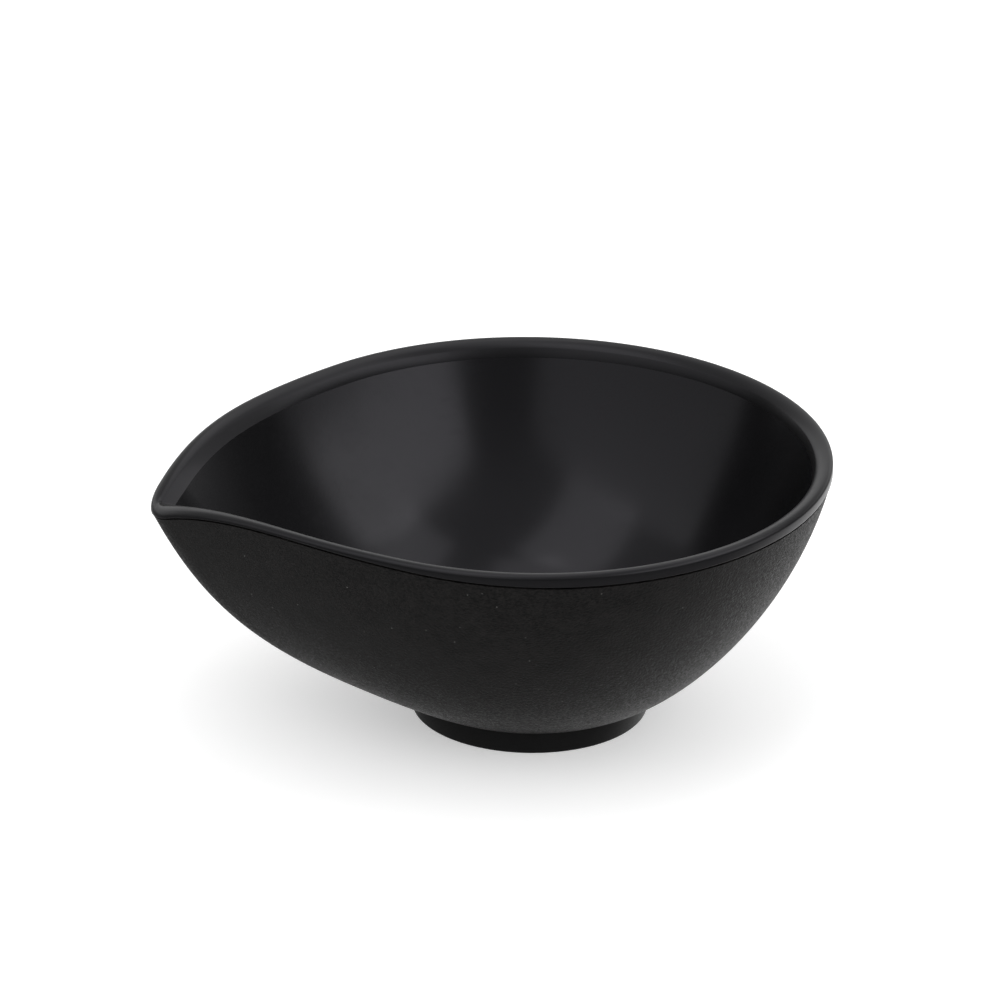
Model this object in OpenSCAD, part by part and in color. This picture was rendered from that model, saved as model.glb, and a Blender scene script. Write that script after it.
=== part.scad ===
// Hair colour mixing bowl with a pouring spout.
// A glossy liner sits in a matte outer shell and rolls over its edge as the rim, and a rubber
// ring is pressed on the spigot under the shell. The bowl's axis is Z and the spout points to -X.

/* [Bowl] */
// Width of the round part over the rim
bowl_d = 132; // [120:1:150]
// Height of the rim above the table, away from the spout
rim_h = 61; // [55:0.5:75]

/* [Spout] */
// Distance from the bowl's axis to the end of the spout
spout_reach = 84.5; // [80:0.5:92]
// Radius in plan of the spout's outer end
nose_r = 16; // [10:0.5:18]
// Radius in plan of each flank, between the round part and the end of the spout
flank_r = 152; // [130:2:220]
// How far the rim falls at the end of the spout
spout_dip = 8.4; // [2:0.1:12]
// Distance from the bowl's axis at which the rim starts to fall
dip_start = 50; // [40:1:60]
// How much wider the rim is inside the end of the spout
spout_ledge = 2.3; // [0:0.1:3]

/* [Rim] */
// Width of the rim, which is the whole wall's thickness at the top
rim_w = 4.5; // [4:0.1:6]
// Height of the rim's outer band above the shell's edge, on the round side
band_h = 2.8; // [2.2:0.1:4]
// Height of the band at the spout
band_end_h = 1.2; // [1.2:0.1:2.2]
// Rounding of the rim's outer edge
rim_outer_r = 1.1; // [0.6:0.1:1.1]
// How far the rim stands out past the shell
rim_overhang = 0.3; // [0.1:0.1:0.6]

/* [Walls] */
// Thickness of the outer shell
shell_t = 1.8; // [1.6:0.1:2.2]
// Thickness of the liner's floor
liner_floor_t = 2.5; // [2:0.1:4]
// Clearance between liner and shell above the floor
liner_gap = 0.1; // [0.1:0.05:0.2]

/* [Foot] */
// Outer diameter of the foot ring
foot_d = 53; // [48:1:58]
// Height of the foot ring, which is also the height of the shell's underside
foot_h = 5.2; // [4.6:0.1:7]
// Width of the foot ring's resting face
foot_w = 7; // [6:0.5:9]
// Thickness of the foot ring under the shell's spigot
foot_sole_t = 1.6; // [1.2:0.1:2]

/* [Hidden] */
$fn = 128;

bowl_r = bowl_d / 2;
foot_r = foot_d / 2;

// Shell section as a cubic Bezier curve, in fractions of the way out and up from foot to rim.
// The first pair of handles is for the round side, and the second for the keel under the spout.
round_handles = [[0.275, 0.07], [0.815, 0.45]];
keel_handles = [[0.59, 0.2], [0.82, 0.545]];
// The same for the hollow, from the bowl's axis, where its floor is level
hollow_handles = [[0.5, 0], [0.7, 0.03]];
// How fast the rim falls towards the end of the spout
dip_power = 3.6;

// The rim's top falls inwards on an arc to a crisp edge, with a short steep step under it
crown_angle = 58;
step_w = 0.5;
step_h = 2;
crown_r = (rim_w - step_w - rim_outer_r) / sin(crown_angle);
hollow_drop = crown_r * (1 - cos(crown_angle)) + step_h;
spout_corner_r = 0.35;

// Shell and liner
shell_floor_z = foot_h + shell_t;
hollow_floor_z = shell_floor_z + liner_floor_t;
seat_gap = 0.1;
base_r = foot_r + 0.1;
seat_r = base_r - 1.2;

// Spigot under the shell and the bead that holds the foot ring on it
spigot_r = foot_r - 3.6;
spigot_inner_r = foot_r - foot_w;
spigot_root = 0.8;
bead_depth = 0.4;
bead_z = [2.9, 3.9];
foot_edge_r = 0.6;
foot_taper = 0.3;

// Number of rings and of points on each ring
shell_rings = 16;
seat_rings = 12;
hollow_rings = 18;
round_steps = 22;
shoulder_steps = 8;
flank_steps = 10;
nose_steps = 9;
arc_steps = 5;

// ---- The outline in plan -------------------------------------------------------------------
// It is an arc of bowl_r round the axis, a flank arc on each side that is tangent to it, and a
// nose arc that is tangent to both flanks. Points are found by the direction of their normal.
nose_x = spout_reach - nose_r;
flank_cx = (pow(flank_r - nose_r, 2) - pow(flank_r - bowl_r, 2) - nose_x * nose_x) / (2 * nose_x);
flank_cy = sqrt(pow(flank_r - bowl_r, 2) - flank_cx * flank_cx);
shoulder_angle = atan2(flank_cy, -flank_cx);

// Distance of the nose arc's centre from the axis, for an outline moved inwards by inset
function nose_centre(inset, r) = sqrt(pow(flank_r - inset - r, 2) - flank_cy * flank_cy) - flank_cx;

// Distance of the spout's end from the axis, for the same outline
function reach(inset, end_r) = nose_centre(inset, end_r) + end_r;

// Point of the outline whose normal has this angle. Angle 0 is +X and 180 is the spout.
function outline(angle, inset, end_r) =
    let (
        side = angle < 0 ? -1 : 1,
        centre_x = nose_centre(inset, end_r),
        nose_angle = atan2(flank_cy, -flank_cx - centre_x),
        c = abs(angle) <= shoulder_angle ? [0, 0, bowl_r - inset]
            : abs(angle) <= nose_angle ? [flank_cx, -flank_cy * side, flank_r - inset]
            : [-centre_x, 0, end_r]
    )
    [c.x + c.z * cos(angle), c.y + c.z * sin(angle)];

// Angles of one ring's points, closer together where the outline turns faster
nose_angle_out = atan2(flank_cy, -flank_cx - nose_centre(0, nose_r));
half_angles = concat(
    [for (i = [0:round_steps - 1]) 90 * i / round_steps],
    [for (i = [0:shoulder_steps - 1]) 90 + (shoulder_angle - 90) * i / shoulder_steps],
    [for (i = [0:flank_steps - 1]) shoulder_angle + (nose_angle_out - shoulder_angle) * i / flank_steps],
    [for (i = [0:nose_steps]) nose_angle_out + (180 - nose_angle_out) * i / nose_steps]
);
last = len(half_angles) - 1;
ring_angles = concat(half_angles, [for (i = [last - 1:-1:1]) -half_angles[i]]);
ring_len = len(ring_angles);

// ---- Heights and sections ------------------------------------------------------------------
// Height of the rim's top at this X
function rim_z(x) =
    rim_h - spout_dip * pow(max(0, (-x - dip_start) / (spout_reach - dip_start)), dip_power);

// Height of the rim's outer band at this X: it narrows from the axis towards the spout
function band(x) = mix(band_h, band_end_h, ease(-x / bowl_r));

// Rises smoothly from 0 at t = 0 to 1 at t = 1
function ease(t) = let (u = max(0, min(1, t))) u * u * (3 - 2 * u);

// Inset of the hollow's top edge, which grows along the flanks to the end of the spout
function hollow_inset(angle) =
    let (share = (abs(angle) - shoulder_angle) / (nose_angle_out - shoulder_angle))
    rim_w + spout_ledge * pow(max(0, min(1, share)), 2);

// How far a direction counts as keel: 0 on the round side, 1 at the spout
function keel_share(angle) = pow((1 - cos(angle)) / 2, 2);

function mix(a, b, t) = a + (b - a) * t;

// Point at t of a cubic Bezier curve from [0, 0] to [1, 1] with these two handles
function section(handles, t) =
    3 * t * pow(1 - t, 2) * handles[0] + 3 * t * t * (1 - t) * handles[1] + pow(t, 3) * [1, 1];

// One ring of the shell's wall: t runs from 0 at the floor to 1 at gap below the rim's band
function shell_ring(t, floor_r, floor_z, inset, gap) =
    let (
        end_r = nose_r - inset,
        edge_reach = reach(inset, end_r),
        stretch = edge_reach / mix(floor_r, edge_reach, section(keel_handles, t).x)
    )
    [
        for (angle = ring_angles)
            let (
                p = section(mix(round_handles, keel_handles, keel_share(angle)), t),
                xy = mix(floor_r * [cos(angle), sin(angle)], outline(angle, inset, end_r), p.x)
            )
            [xy.x, xy.y, mix(floor_z, rim_z(xy.x * stretch) - band(xy.x * stretch) - gap, p.y)]
    ];

// One ring of the hollow: rounder than the rim's outline the nearer it is to the floor
function hollow_ring(t) =
    let (
        p = section(hollow_handles, t),
        round_r = bowl_r - rim_w,
        edge_reach = reach(rim_w + spout_ledge, spout_corner_r),
        stretch = edge_reach / (p.x * mix(round_r, edge_reach, p.x))
    )
    [
        for (angle = ring_angles)
            let (
                edge = outline(angle, hollow_inset(angle), spout_corner_r),
                xy = p.x * mix(round_r * [cos(angle), sin(angle)], edge, p.x)
            )
            [xy.x, xy.y, mix(hollow_floor_z, rim_z(xy.x * stretch) - hollow_drop, p.y)]
    ];

// One ring of the rim, inset from the outline and drop below its top. The spout's end runs from
// the nose's outer radius to the sharp corner of the hollow.
function rim_ring(inset, drop) = [
    for (angle = ring_angles)
        let (
            end_r = mix(nose_r, spout_corner_r, inset / rim_w),
            edge = outline(angle, inset, end_r)
        )
        [edge.x, edge.y, rim_z(edge.x) - drop]
];

// Lower edge of the rim's outer band
function band_ring() = [
    for (angle = ring_angles)
        let (edge = outline(angle, 0, nose_r))
        [edge.x, edge.y, rim_z(edge.x) - band(edge.x)]
];

// ---- Solids ----------------------------------------------------------------------------------
// Closed solid through a list of rings, with a flat face on the first and on the last
module loft(rings) {
    n = ring_len;
    polyhedron(
        points = [for (ring = rings) each ring],
        faces = concat(
            [[for (i = [0:n - 1]) i]],
            [for (k = [0:len(rings) - 2]) for (i = [0:n - 1]) each [
                [k * n + i, (k + 1) * n + i, (k + 1) * n + (i + 1) % n],
                [k * n + i, (k + 1) * n + (i + 1) % n, k * n + (i + 1) % n]
            ]],
            [[for (i = [n - 1:-1:0]) (len(rings) - 1) * n + i]]
        ),
        convexity = 6
    );
}

module outer_shell() {
    wall_outside = [
        for (i = [0:shell_rings]) shell_ring(i / shell_rings, base_r, foot_h, rim_overhang, seat_gap)
    ];
    wall_inside = [
        for (i = [seat_rings:-1:0]) shell_ring(i / seat_rings, seat_r, shell_floor_z, shell_t, seat_gap)
    ];
    color("#2b2b2d")
    union() {
        loft(concat(wall_outside, wall_inside));
        spigot();
    }
}

// Ring under the shell with the groove for the foot ring's bead
module spigot() {
    rotate_extrude()
    polygon([
        [spigot_inner_r, foot_sole_t],
        [spigot_r, foot_sole_t],
        [spigot_r, bead_z[0]],
        [spigot_r - bead_depth, bead_z[0]],
        [spigot_r - bead_depth, bead_z[1]],
        [spigot_r, bead_z[1]],
        [spigot_r, foot_h + spigot_root],
        [spigot_inner_r, foot_h + spigot_root]
    ]);
}

module inner_liner() {
    seat_inset = shell_t + liner_gap;
    wall_outside = [
        for (i = [0:seat_rings])
            shell_ring(i / seat_rings, seat_r - liner_gap, shell_floor_z, seat_inset, 0)
    ];
    rim_edge = [
        for (i = [0:arc_steps])
            let (a = 90 * i / arc_steps)
            rim_ring(rim_outer_r * (1 - cos(a)), rim_outer_r * (1 - sin(a)))
    ];
    rim_crown = [
        for (i = [1:arc_steps])
            let (a = crown_angle * i / arc_steps)
            rim_ring(rim_outer_r + crown_r * sin(a), crown_r * (1 - cos(a)))
    ];
    hollow = [for (i = [hollow_rings:-1:1]) hollow_ring(i / hollow_rings)];
    color("#151517")
    loft(concat(wall_outside, [band_ring()], rim_edge, rim_crown, hollow));
}

module foot_ring() {
    color("#0b0b0c")
    rotate_extrude()
    difference() {
        union() {
            polygon([
                [spigot_inner_r, 0],
                [foot_r - foot_taper - foot_edge_r, 0],
                [foot_r - foot_taper, foot_edge_r],
                [foot_r, foot_h],
                [spigot_inner_r, foot_h]
            ]);
            translate([foot_r - foot_taper - foot_edge_r, foot_edge_r])
                circle(r = foot_edge_r);
        }
        translate([0, foot_sole_t])
            square([spigot_r, bead_z[0] - foot_sole_t]);
        translate([0, bead_z[0]])
            square([spigot_r - bead_depth, bead_z[1] - bead_z[0]]);
        translate([0, bead_z[1]])
            square([spigot_r, foot_h]);
    }
}

outer_shell();
inner_liner();
foot_ring();
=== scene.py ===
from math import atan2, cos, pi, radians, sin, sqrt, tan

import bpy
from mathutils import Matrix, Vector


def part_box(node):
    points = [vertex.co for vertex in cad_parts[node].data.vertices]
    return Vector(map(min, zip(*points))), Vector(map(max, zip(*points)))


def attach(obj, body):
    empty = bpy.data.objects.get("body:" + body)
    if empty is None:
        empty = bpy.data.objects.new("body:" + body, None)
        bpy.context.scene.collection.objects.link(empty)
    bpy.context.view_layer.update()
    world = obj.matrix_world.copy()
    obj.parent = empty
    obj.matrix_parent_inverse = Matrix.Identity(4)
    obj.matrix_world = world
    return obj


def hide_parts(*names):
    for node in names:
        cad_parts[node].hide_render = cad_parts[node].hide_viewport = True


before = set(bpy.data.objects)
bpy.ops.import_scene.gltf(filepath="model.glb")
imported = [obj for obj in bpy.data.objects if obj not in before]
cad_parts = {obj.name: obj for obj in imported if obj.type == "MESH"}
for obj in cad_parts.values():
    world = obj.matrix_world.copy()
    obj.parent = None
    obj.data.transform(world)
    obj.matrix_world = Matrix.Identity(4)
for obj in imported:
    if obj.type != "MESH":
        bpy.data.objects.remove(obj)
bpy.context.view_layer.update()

# A hair colour mixing bowl in three pieces: a matte outer shell, a glossy liner that rolls over the
# shell's edge as the rim, and a rubber foot ring. Each is a fine mesh on the same formulas as the
# CAD solid that it stands for.

MM = 0.001

# ---- Sizes in millimetres, as in the CAD ---------------------------------------------------------
liner_low, liner_high = (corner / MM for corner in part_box("inner_liner"))
foot_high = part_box("foot_ring")[1] / MM
BOWL_R = liner_high.y
RIM_H = liner_high.z
SPOUT_REACH = -liner_low.x
FOOT_R = foot_high.x
FOOT_H = foot_high.z

NOSE_R = 16
FLANK_R = 152
SPOUT_DIP = 8.4
DIP_START = 50
DIP_POWER = 3.6
SPOUT_LEDGE = 2.3
SPOUT_CORNER_R = 0.35

RIM_W = 4.5
BAND_H = 2.8
BAND_END_H = 1.2
BAND_EDGE_R = 0.25
RIM_OUTER_R = 1.1
RIM_OVERHANG = 0.3
CROWN_ANGLE = radians(58)
STEP_W = 0.5
STEP_H = 2
CROWN_R = (RIM_W - STEP_W - RIM_OUTER_R) / sin(CROWN_ANGLE)
CROWN_DROP = CROWN_R * (1 - cos(CROWN_ANGLE))
HOLLOW_DROP = CROWN_DROP + STEP_H

SHELL_T = 1.8
LINER_FLOOR_T = 2.5
GAP = 0.1
# A groove in the shell's top edge, for a dark line under the rim. The CAD leaves it out.
GROOVE_H = 0.4
GROOVE_DEPTH = 0.4
GROOVE_SLOPE = 0.1
SHELL_FLOOR_Z = FOOT_H + SHELL_T
HOLLOW_FLOOR_Z = SHELL_FLOOR_Z + LINER_FLOOR_T
BASE_R = FOOT_R + GAP
BASE_LIP = 0.3
SEAT_R = BASE_R - 1.2

FOOT_W = 7
FOOT_SOLE_T = 1.6
FOOT_TAPER = 0.3
FOOT_EDGE_R = 0.6
FOOT_INNER_EDGE_R = 0.3
FOOT_TOP_EDGE_R = 0.25
SPIGOT_R = FOOT_R - 3.6
SPIGOT_INNER_R = FOOT_R - FOOT_W
BEAD_DEPTH = 0.4
BEAD_LOW, BEAD_HIGH = 2.9, 3.9

# Handles of the sections' Bezier curves, in fractions of the way out and up
ROUND_HANDLES = ((0.275, 0.07), (0.815, 0.45))
KEEL_HANDLES = ((0.59, 0.2), (0.82, 0.545))
HOLLOW_HANDLES = ((0.5, 0), (0.7, 0.03))

# ---- The outline in plan -------------------------------------------------------------------------
NOSE_X = SPOUT_REACH - NOSE_R
FLANK_CX = ((FLANK_R - NOSE_R) ** 2 - (FLANK_R - BOWL_R) ** 2 - NOSE_X**2) / (2 * NOSE_X)
FLANK_CY = sqrt((FLANK_R - BOWL_R) ** 2 - FLANK_CX**2)
SHOULDER_ANGLE = atan2(FLANK_CY, -FLANK_CX)
NOSE_ANGLE = atan2(FLANK_CY, -FLANK_CX - NOSE_X)


def nose_centre(inset, end_r):
    """Distance of the nose arc's centre from the axis, for an outline moved inwards by inset."""
    return sqrt((FLANK_R - inset - end_r) ** 2 - FLANK_CY**2) - FLANK_CX


def reach(inset, end_r):
    """Distance of the spout's end from the axis, for the same outline."""
    return nose_centre(inset, end_r) + end_r


def outline(angle, inset, end_r):
    """Point of the outline whose normal has this angle: 0 is +X and pi is the spout."""
    side = -1 if angle < 0 else 1
    centre_x = nose_centre(inset, end_r)
    nose_angle = atan2(FLANK_CY, -FLANK_CX - centre_x)
    if abs(angle) <= SHOULDER_ANGLE:
        x, y, r = 0, 0, BOWL_R - inset
    elif abs(angle) <= nose_angle:
        x, y, r = FLANK_CX, -FLANK_CY * side, FLANK_R - inset
    else:
        x, y, r = -centre_x, 0, end_r
    return x + r * cos(angle), y + r * sin(angle)


def spread(start, end, steps):
    """Evenly spaced values from start up to, but without, end."""
    return [start + (end - start) * i / steps for i in range(steps)]


HALF_ANGLES = (
    spread(0, SHOULDER_ANGLE, 130)
    + spread(SHOULDER_ANGLE, NOSE_ANGLE, 48)
    + spread(NOSE_ANGLE, pi, 26)
    + [pi]
)
RING_ANGLES = HALF_ANGLES + [-angle for angle in HALF_ANGLES[-2:0:-1]]


# ---- Heights and sections ------------------------------------------------------------------------
def mix(a, b, t):
    return a + (b - a) * t


def ease(t):
    """Rises smoothly from 0 at t = 0 to 1 at t = 1."""
    u = max(0.0, min(1.0, t))
    return u * u * (3 - 2 * u)


def rim_z(x):
    """Height of the rim's top at this X."""
    return RIM_H - SPOUT_DIP * max(0.0, (-x - DIP_START) / (SPOUT_REACH - DIP_START)) ** DIP_POWER


def band(x):
    """Height of the rim's outer band at this X."""
    return mix(BAND_H, BAND_END_H, ease(-x / BOWL_R))


def hollow_inset(angle):
    """Inset of the hollow's top edge, which grows along the flanks to the end of the spout."""
    share = (abs(angle) - SHOULDER_ANGLE) / (NOSE_ANGLE - SHOULDER_ANGLE)
    return RIM_W + SPOUT_LEDGE * max(0.0, min(1.0, share)) ** 2


def bezier(handles, t):
    """Point at t of a cubic Bezier curve from (0, 0) to (1, 1)."""
    (ax, ay), (bx, by) = handles
    a, b, c = 3 * t * (1 - t) ** 2, 3 * t * t * (1 - t), t**3
    return a * ax + b * bx + c, a * ay + b * by + c


def section(angle, t):
    """Point at t of the shell's section in this direction."""
    keel = ((1 - cos(angle)) / 2) ** 2
    px, py = bezier(ROUND_HANDLES, t)
    qx, qy = bezier(KEEL_HANDLES, t)
    return mix(px, qx, keel), mix(py, qy, keel)


def shell_ring(t, floor_r, floor_z, inset, gap):
    """One ring of the shell's wall: t runs from 0 at the floor to 1 at gap below the rim's band."""
    end_r = NOSE_R - inset
    edge_reach = reach(inset, end_r)
    stretch = edge_reach / mix(floor_r, edge_reach, bezier(KEEL_HANDLES, t)[0])
    ring = []
    for angle in RING_ANGLES:
        out, up = section(angle, t)
        edge_x, edge_y = outline(angle, inset, end_r)
        x = mix(floor_r * cos(angle), edge_x, out)
        y = mix(floor_r * sin(angle), edge_y, out)
        top = rim_z(x * stretch) - band(x * stretch) - gap
        ring.append((x, y, mix(floor_z, top, up)))
    return ring


def hollow_ring(t):
    """One ring of the hollow: rounder than the rim's outline the nearer it is to the floor."""
    out, up = bezier(HOLLOW_HANDLES, t)
    round_r = BOWL_R - RIM_W
    edge_reach = reach(RIM_W + SPOUT_LEDGE, SPOUT_CORNER_R)
    stretch = edge_reach / (out * mix(round_r, edge_reach, out))
    ring = []
    for angle in RING_ANGLES:
        edge_x, edge_y = outline(angle, hollow_inset(angle), SPOUT_CORNER_R)
        x = out * mix(round_r * cos(angle), edge_x, out)
        y = out * mix(round_r * sin(angle), edge_y, out)
        top = rim_z(x * stretch) - HOLLOW_DROP
        ring.append((x, y, mix(HOLLOW_FLOOR_Z, top, up)))
    return ring


def rim_ring(inset, drop):
    """One ring of the rim, inset from the outline and drop below its top."""
    end_r = mix(NOSE_R, SPOUT_CORNER_R, inset / RIM_W)
    edges = [outline(angle, inset, end_r) for angle in RING_ANGLES]
    return [(x, y, rim_z(x) - drop) for x, y in edges]


def band_ring(inset, lift):
    """One ring near the lower edge of the rim's outer band."""
    edges = [outline(angle, inset, NOSE_R - inset) for angle in RING_ANGLES]
    return [(x, y, rim_z(x) - band(x) + lift) for x, y in edges]


def round_ring(r, z):
    """A level circle round the axis."""
    return [(r * cos(angle), r * sin(angle), z) for angle in RING_ANGLES]


# ---- Meshes --------------------------------------------------------------------------------------
CRISP_ANGLE = radians(35)
# Radius of the level rings that close the pieces at the axis
AXIS_R = 2
# Numbers of rings up the shell's outside, up its inside, up the hollow and over the crown
WALL_STEPS = 96
INNER_STEPS = 24
HOLLOW_STEPS = 120
CROWN_STEPS = 19


def loft(name, rings, materials, looped=False):
    """Closed mesh through (ring, material index) pairs, with the index for the faces after the ring.

    It ends in a point on the axis at the first and the last ring, unless it is looped.
    """
    count = len(RING_ANGLES)
    points = [point for ring, _ in rings for point in ring]
    faces, indices = [], []
    for k in range(len(rings) - (0 if looped else 1)):
        low, high = k * count, (k + 1) % len(rings) * count
        for i in range(count):
            j = (i + 1) % count
            faces.append((low + i, low + j, high + j, high + i))
            indices.append(rings[k][1])
    if not looped:
        for k, turn in ((0, 1), (len(rings) - 1, -1)):
            centre = len(points)
            points.append((0, 0, rings[k][0][0][2]))
            for i in range(count):
                a, b = k * count + i, k * count + (i + 1) % count
                faces.append((b, a, centre)[::turn])
                indices.append(rings[k][1])
    mesh = bpy.data.meshes.new(name)
    mesh.from_pydata([(x * MM, y * MM, z * MM) for x, y, z in points], [], faces)
    for material in materials:
        mesh.materials.append(material)
    mesh.polygons.foreach_set("material_index", indices)
    mesh.polygons.foreach_set("use_smooth", [True] * len(faces))
    mesh.update()
    piece = bpy.data.objects.new(name, mesh)
    bpy.context.scene.collection.objects.link(piece)
    return piece


def crisp(piece):
    """Shades edges that turn by more than CRISP_ANGLE as edges."""
    piece.data.set_sharp_from_angle(angle=CRISP_ANGLE)


def crisp_rings(piece, sharp):
    """Shades the edges that run along these rings as edges."""
    count = len(RING_ANGLES)
    for edge in piece.data.edges:
        first, second = (vertex // count for vertex in edge.vertices)
        edge.use_edge_sharp = first == second and first in sharp


def fillet(corner_r, corner_z, r, start, end, steps=5):
    """Points (radius, height) on an arc of radius r about the corner. The angles are in degrees."""
    turns = [radians(mix(start, end, i / steps)) for i in range(steps + 1)]
    return [(corner_r + r * cos(a), corner_z + r * sin(a)) for a in turns]


def outer_shell(material):
    """The matte shell, from the middle of its underside round the wall to that of its floor."""
    profile = [
        (AXIS_R, FOOT_H),
        (SPIGOT_INNER_R, FOOT_H),
        (SPIGOT_INNER_R, FOOT_SOLE_T),
        (SPIGOT_R, FOOT_SOLE_T),
        (SPIGOT_R, BEAD_LOW),
        (SPIGOT_R - BEAD_DEPTH, BEAD_LOW),
        (SPIGOT_R - BEAD_DEPTH, BEAD_HIGH),
        (SPIGOT_R, BEAD_HIGH),
        (SPIGOT_R, FOOT_H),
        (BASE_R - BASE_LIP, FOOT_H),
    ]
    rings = [round_ring(r, z) for r, z in profile]
    wall = (i / WALL_STEPS for i in range(WALL_STEPS + 1))
    rings += [shell_ring(t, BASE_R, FOOT_H, RIM_OVERHANG, GAP + GROOVE_H) for t in wall]
    for gap in (GAP + GROOVE_H - GROOVE_SLOPE, GAP):
        rings.append(shell_ring(1, BASE_R, FOOT_H, RIM_OVERHANG + GROOVE_DEPTH, gap))
    inside = (i / INNER_STEPS for i in range(INNER_STEPS, -1, -1))
    rings += [shell_ring(t, SEAT_R, SHELL_FLOOR_Z, SHELL_T, GAP) for t in inside]
    rings.append(round_ring(AXIS_R, SHELL_FLOOR_Z))
    piece = loft("matte_outer_shell", [(ring, 0) for ring in rings], [material])
    crisp(piece)
    return piece


def inner_liner(lip, hollow):
    """The glossy liner, from the middle of its underside over the rim to that of the hollow."""
    outside = SHELL_T + GAP
    back = [round_ring(AXIS_R, SHELL_FLOOR_Z)]
    steps = (i / INNER_STEPS for i in range(INNER_STEPS + 1))
    back += [shell_ring(t, SEAT_R - GAP, SHELL_FLOOR_Z, outside, 0) for t in steps]

    rim = [band_ring(BAND_EDGE_R, 0)]
    for a in spread(pi / 8, pi / 2, 3) + [pi / 2]:
        rim.append(band_ring(BAND_EDGE_R * (1 - sin(a)), BAND_EDGE_R * (1 - cos(a))))
    for a in spread(0, pi / 2, 12) + [pi / 2]:
        rim.append(rim_ring(RIM_OUTER_R * (1 - cos(a)), RIM_OUTER_R * (1 - sin(a))))
    for a in spread(0, CROWN_ANGLE, CROWN_STEPS)[1:]:
        rim.append(rim_ring(RIM_OUTER_R + CROWN_R * sin(a), CROWN_R * (1 - cos(a))))

    wall = [hollow_ring(i / HOLLOW_STEPS) for i in range(HOLLOW_STEPS, 0, -1)]
    rings = [(ring, 0) for ring in back + rim] + [(ring, 1) for ring in wall]
    piece = loft("gloss_inner_liner", rings, [lip, hollow])
    floor_edge, wall_edge, band_edge, hollow_edge = 1, len(back) - 1, len(back), len(back) + len(rim)
    crisp_rings(piece, (floor_edge, wall_edge, band_edge, hollow_edge))
    return piece


def foot_ring(material):
    """The rubber ring, whose section has rounded edges and a bead towards the spigot."""
    edge = FOOT_R - FOOT_TAPER - FOOT_EDGE_R
    profile = [
        *fillet(SPIGOT_INNER_R + FOOT_INNER_EDGE_R, FOOT_INNER_EDGE_R, FOOT_INNER_EDGE_R, 180, 270),
        *fillet(edge, FOOT_EDGE_R, FOOT_EDGE_R, -90, 0),
        *fillet(FOOT_R - FOOT_TOP_EDGE_R, FOOT_H - FOOT_TOP_EDGE_R, FOOT_TOP_EDGE_R, 0, 90),
        (SPIGOT_R, FOOT_H),
        (SPIGOT_R, BEAD_HIGH),
        (SPIGOT_R - BEAD_DEPTH, BEAD_HIGH),
        (SPIGOT_R - BEAD_DEPTH, BEAD_LOW),
        (SPIGOT_R, BEAD_LOW),
        (SPIGOT_R, FOOT_SOLE_T),
        (SPIGOT_INNER_R, FOOT_SOLE_T),
    ]
    rings = [(round_ring(r, z), 0) for r, z in profile]
    piece = loft("rubber_foot_ring", rings, [material], looped=True)
    crisp(piece)
    return piece


# ---- Materials -----------------------------------------------------------------------------------
LIP_TONE = (0.005, 0.005, 0.0052)
HOLLOW_TONE = (0.0025, 0.0025, 0.0028)


def ramp(tree, value, low, high, out_low, out_high):
    """Node that maps low..high to out_low..out_high, held at both ends."""
    node = tree.nodes.new("ShaderNodeMapRange")
    tree.links.new(value, node.inputs["Value"])
    names = ("From Min", "From Max", "To Min", "To Max")
    for name, number in zip(names, (low, high, out_low, out_high)):
        node.inputs[name].default_value = number
    return node


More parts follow.
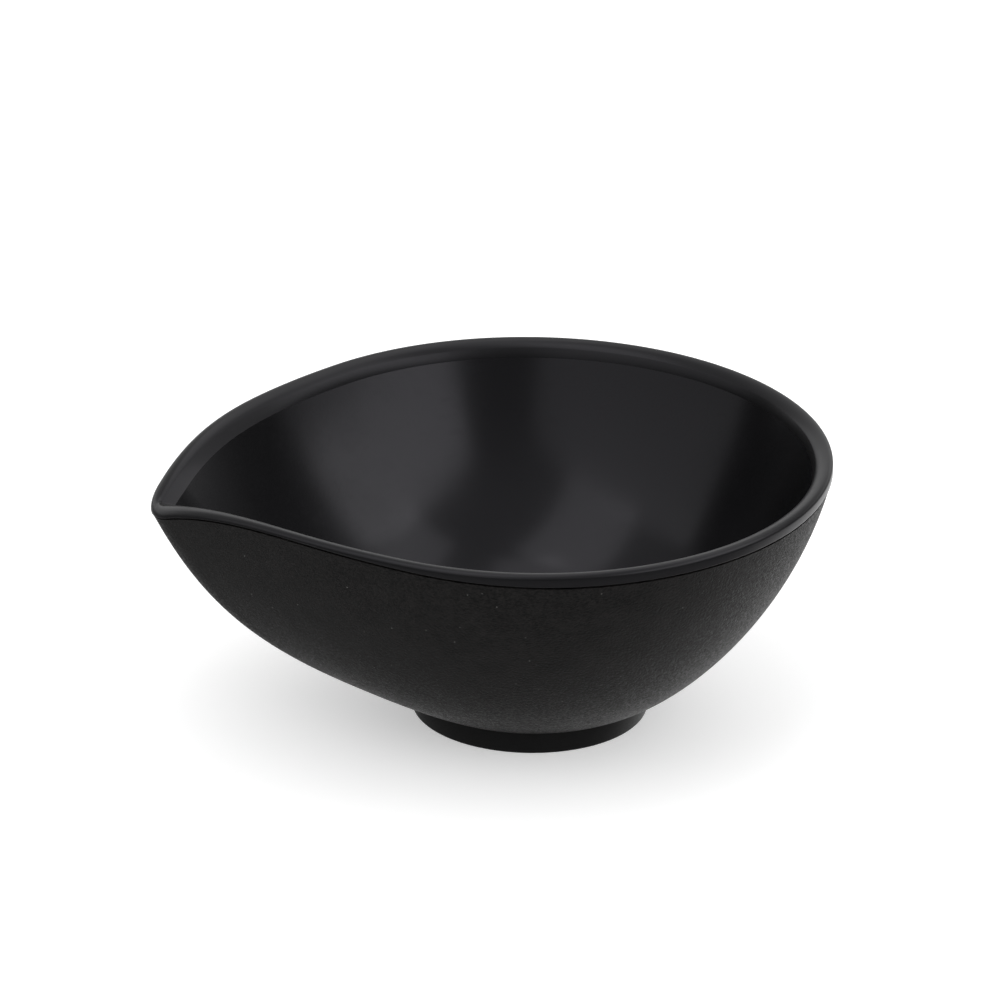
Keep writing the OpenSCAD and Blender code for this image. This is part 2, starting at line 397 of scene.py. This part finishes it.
class Material:
    """A Principled material and short calls for the nodes that feed it."""

    def __init__(self, name, **values):
        self.material = bpy.data.materials.new(name)
        self.material.use_nodes = True
        self.tree = self.material.node_tree
        self.shader = self.tree.nodes["Principled BSDF"]
        self.place = self.tree.nodes.new("ShaderNodeTexCoord").outputs["Object"]
        for socket, value in values.items():
            self.shader.inputs[socket.replace("_", " ")].default_value = value

    def link(self, value, socket):
        """Sets the socket to a colour or a number, or links it to another node's output."""
        if isinstance(value, tuple):
            socket.default_value = (*value, 1)
        elif isinstance(value, (int, float)):
            socket.default_value = value
        else:
            self.tree.links.new(value, socket)

    def stretched(self, scale):
        """The place scaled by (x, y, z)."""
        node = self.tree.nodes.new("ShaderNodeMapping")
        node.inputs["Scale"].default_value = scale
        self.link(self.place, node.inputs["Vector"])
        return node.outputs["Vector"]

    def noise(self, size_mm, detail=3.0, rough=0.55, place=None):
        """Cloudy noise whose features are about size_mm across."""
        node = self.tree.nodes.new("ShaderNodeTexNoise")
        node.inputs["Scale"].default_value = 1 / (size_mm * MM)
        node.inputs["Detail"].default_value = detail
        node.inputs["Roughness"].default_value = rough
        self.link(place or self.place, node.inputs["Vector"])
        return node.outputs["Fac"]

    def cells(self, size_mm):
        """Distance to the nearest of points that are about size_mm apart."""
        node = self.tree.nodes.new("ShaderNodeTexVoronoi")
        node.inputs["Scale"].default_value = 1 / (size_mm * MM)
        self.link(self.place, node.inputs["Vector"])
        return node.outputs["Distance"]

    def steps(self, value, low, high, out_low=0.0, out_high=1.0):
        """The value with low..high mapped to out_low..out_high, held at both ends."""
        return ramp(self.tree, value, low, high, out_low, out_high).outputs["Result"]

    def math(self, operation, a, b):
        node = self.tree.nodes.new("ShaderNodeMath")
        node.operation = operation
        self.link(a, node.inputs[0])
        self.link(b, node.inputs[1])
        return node.outputs[0]

    def colour(self, share, a, b):
        node = self.tree.nodes.new("ShaderNodeMix")
        node.data_type = "RGBA"
        self.link(share, node.inputs["Factor"])
        self.link(a, node.inputs["A"])
        self.link(b, node.inputs["B"])
        return node.outputs["Result"]

    def base(self, value):
        self.link(value, self.shader.inputs["Base Color"])

    def roughness(self, value):
        self.link(value, self.shader.inputs["Roughness"])

    def bump(self, height, depth_mm, strength=1.0):
        node = self.tree.nodes.new("ShaderNodeBump")
        node.inputs["Distance"].default_value = depth_mm * MM
        node.inputs["Strength"].default_value = strength
        self.link(height, node.inputs["Height"])
        self.link(node.outputs["Normal"], self.shader.inputs["Normal"])


def matte_plastic():
    """Charcoal moulded plastic with a sandy grain, soft clouds and a few light specks."""
    m = Material("matte_shell_plastic", IOR=1.46, Specular_IOR_Level=0.22)
    grain = m.noise(0.66, detail=3, rough=0.85)
    clouds = m.noise(6, detail=3, rough=0.6)
    shade = m.math("ADD", m.steps(grain, 0.44, 0.56, 0, 0.8), m.steps(clouds, 0.35, 0.65, 0, 0.2))
    charcoal = m.colour(shade, (0, 0, 0), (0.0128, 0.0115, 0.0112))
    specks = m.steps(m.cells(3.6), 0.05, 0.03)
    m.base(m.colour(specks, charcoal, (0.12, 0.12, 0.115)))
    m.roughness(m.steps(grain, 0.42, 0.58, 0.44, 0.68))
    m.bump(m.math("ADD", grain, m.math("MULTIPLY", m.cells(0.5), 0.3)), 0.23)
    return m.material


def gloss_plastic(name, smooth, rough, base):
    """Black plastic whose roughness drifts from smooth to rough, with very fine wipe marks."""
    m = Material(name, IOR=1.5, Specular_IOR_Level=0.28, Specular_Tint=(0.94, 0.92, 1, 1))
    clouds = m.noise(14, detail=4, rough=0.6)
    wipes = m.noise(1.2, detail=2, rough=0.5, place=m.stretched((0.12, 1, 1)))
    m.base(m.colour(clouds, base, tuple(c * 1.25 for c in base)))
    gloss = m.steps(clouds, 0.3, 0.7, smooth, rough)
    m.roughness(m.math("ADD", gloss, m.steps(wipes, 0.55, 0.8, 0, 0.04)))
    m.bump(m.math("ADD", m.noise(3, detail=2), m.math("MULTIPLY", wipes, 0.15)), 0.004, 0.5)
    return m.material


def foot_rubber():
    """Dull black rubber with a fine even pebble."""
    m = Material("foot_black_rubber", IOR=1.48, Specular_IOR_Level=0.18)
    grain = m.noise(0.3, detail=3)
    m.base(m.colour(m.noise(4), (0.003, 0.003, 0.0031), (0.0065, 0.0065, 0.0067)))
    m.roughness(m.steps(grain, 0.3, 0.7, 0.45, 0.6))
    m.bump(grain, 0.02, 0.5)
    return m.material


def floor_material():
    """Near white, and a little bright by itself so that only the shadow shows on it."""
    m = Material("pale_floor", IOR=1.45, Emission_Color=(1, 1, 1, 1), Emission_Strength=0.4)
    m.base(m.colour(m.noise(60, detail=2), (0.9, 0.9, 0.9), (0.92, 0.92, 0.92)))
    m.roughness(0.9)
    return m.material


# ---- The object ----------------------------------------------------------------------------------
def add_piece(piece, node):
    """Puts a piece on the one body, in place of this CAD node, which it hides."""
    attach(piece, "root")
    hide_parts(node)


add_piece(outer_shell(matte_plastic()), "outer_shell")
add_piece(
    inner_liner(
        gloss_plastic("lip_gloss_plastic", 0.28, 0.34, LIP_TONE),
        gloss_plastic("hollow_gloss_plastic", 0.19, 0.23, HOLLOW_TONE),
    ),
    "inner_liner",
)
add_piece(foot_ring(foot_rubber()), "foot_ring")


# ---- The studio ----------------------------------------------------------------------------------
def direction(azimuth, elevation):
    """Unit vector at this azimuth, clockwise from +Y seen from above, and elevation, in degrees."""
    a, e = radians(azimuth), radians(elevation)
    return Vector((sin(a) * cos(e), cos(a) * cos(e), sin(e)))


def softbox(name, azimuth, elevation, width, height, radiance, distance=1.3):
    """A rectangular light that faces the rim's middle from this distance, in metres.

    Its width and height are the angles, in degrees, that it covers as seen from there.
    """
    light = bpy.data.lights.new(name, "AREA")
    light.shape = "RECTANGLE"
    light.size = 2 * distance * tan(radians(width / 2))
    light.size_y = 2 * distance * tan(radians(height / 2))
    light.energy = radiance * pi * light.size * light.size_y
    lamp = bpy.data.objects.new(name, light)
    towards = direction(azimuth, elevation)
    lamp.location = towards * distance + Vector((0, 0, RIM_H * MM))
    lamp.rotation_euler = towards.to_track_quat("Z", "Y").to_euler()
    lamp.visible_camera = False
    bpy.context.scene.collection.objects.link(lamp)


softbox("softbox_right_low", 123, 23, 62, 24, 1.9)
softbox("softbox_right_high", 99, 44, 32, 24, 1.0)
softbox("softbox_left", -128, 59, 38, 44, 1.15)
softbox("softbox_back", 35, 58, 44, 30, 0.85)
softbox("softbox_top", 0, 90, 26, 26, 0.9)
softbox("panel_left", -120, 24, 90, 32, 0.6, distance=1.5)
softbox("panel_back_right", 62, 9, 22, 14, 0.6, distance=1.5)
softbox("backdrop", -2, 10, 106, 30, 0.68, distance=1.5)

# Half the floor's side, in metres
FLOOR_HALF = 4.0


def floor():
    """A large square floor that stays out of the bowl's gloss."""
    mesh = bpy.data.meshes.new("floor")
    corners = [(x * FLOOR_HALF, y * FLOOR_HALF, 0) for x, y in ((-1, -1), (1, -1), (1, 1), (-1, 1))]
    mesh.from_pydata(corners, [], [(0, 1, 2, 3)])
    mesh.materials.append(floor_material())
    plane = bpy.data.objects.new("floor", mesh)
    bpy.context.scene.collection.objects.link(plane)
    plane.visible_glossy = False


# Brightness of the room: as the camera sees it, and as light from the horizon, from overhead, from
# below and from below at the back. The Z values are where the light starts and stops changing.
ROOM_SEEN = 1
ROOM_LEVEL = 0.08
ROOM_OVERHEAD = 0.64
ROOM_BELOW = 0.33
ROOM_BELOW_BACK = 1.75
OVERHEAD_Z = (0.12, 0.65)
BELOW_Z = (-0.12, -0.5)
BACK_AZIMUTH = 37
# Cosines of the angle from the back between which the light from below grows
BACK_SPREAD = (0.4, 0.8)


def surroundings():
    """A pale room that the camera sees evenly bright, and whose light depends on its direction."""
    world = bpy.data.worlds.new("studio")
    bpy.context.scene.world = world
    world.use_nodes = True
    tree = world.node_tree
    place = tree.nodes.new("ShaderNodeTexCoord").outputs["Generated"]
    height = tree.nodes.new("ShaderNodeSeparateXYZ")
    tree.links.new(place, height.inputs["Vector"])
    overhead = ramp(tree, height.outputs["Z"], *OVERHEAD_Z, ROOM_LEVEL, ROOM_OVERHEAD)
    steepness = ramp(tree, height.outputs["Z"], *BELOW_Z, 0, 1)

    towards_back = tree.nodes.new("ShaderNodeVectorMath")
    towards_back.operation = "DOT_PRODUCT"
    towards_back.inputs[1].default_value = direction(BACK_AZIMUTH, 0)
    tree.links.new(place, towards_back.inputs[0])
    below = ramp(tree, towards_back.outputs["Value"], *BACK_SPREAD, ROOM_BELOW, ROOM_BELOW_BACK)

    lighting = tree.nodes.new("ShaderNodeMath")
    lighting.operation = "MULTIPLY_ADD"
    for node, socket in zip((steepness, below, overhead), lighting.inputs):
        tree.links.new(node.outputs["Result"], socket)
    seen = tree.nodes.new("ShaderNodeLightPath").outputs["Is Camera Ray"]
    strength = ramp(tree, seen, 0, 1, 0, ROOM_SEEN)
    tree.links.new(lighting.outputs[0], strength.inputs["To Min"])

    background = tree.nodes["Background"]
    background.inputs["Color"].default_value = (1, 1, 1, 1)
    tree.links.new(strength.outputs["Result"], background.inputs["Strength"])


floor()
surroundings()

# ---- The camera ----------------------------------------------------------------------------------
# The angles are in degrees, the distances in metres, and the lens and the sensor in millimetres
VIEW_AZIMUTH = -9.07
VIEW_ELEVATION = 23.96
VIEW_ROLL = 0.72
VIEW_DISTANCE = 2.0034
LENS = 324
SENSOR = 36
# Where the middle of the view lies from the origin, to the view's right and up
AIM_RIGHT = -0.00715
AIM_UP = 0.04514


def add_camera():
    data = bpy.data.cameras.new("camera")
    data.lens = LENS
    data.sensor_width = SENSOR
    data.clip_end = 50
    camera = bpy.data.objects.new("camera", data)
    bpy.context.scene.collection.objects.link(camera)
    bpy.context.scene.camera = camera
    back = -direction(-VIEW_AZIMUTH, -VIEW_ELEVATION)
    right = Vector((0, 0, 1)).cross(back).normalized()
    up = back.cross(right)
    place = back * VIEW_DISTANCE + right * AIM_RIGHT + up * AIM_UP
    turn = Matrix((right, up, back)).transposed() @ Matrix.Rotation(radians(VIEW_ROLL), 3, "Z")
    camera.matrix_world = Matrix.Translation(place) @ turn.to_4x4()


add_camera()
bpy.context.scene.view_settings.view_transform = "Standard"
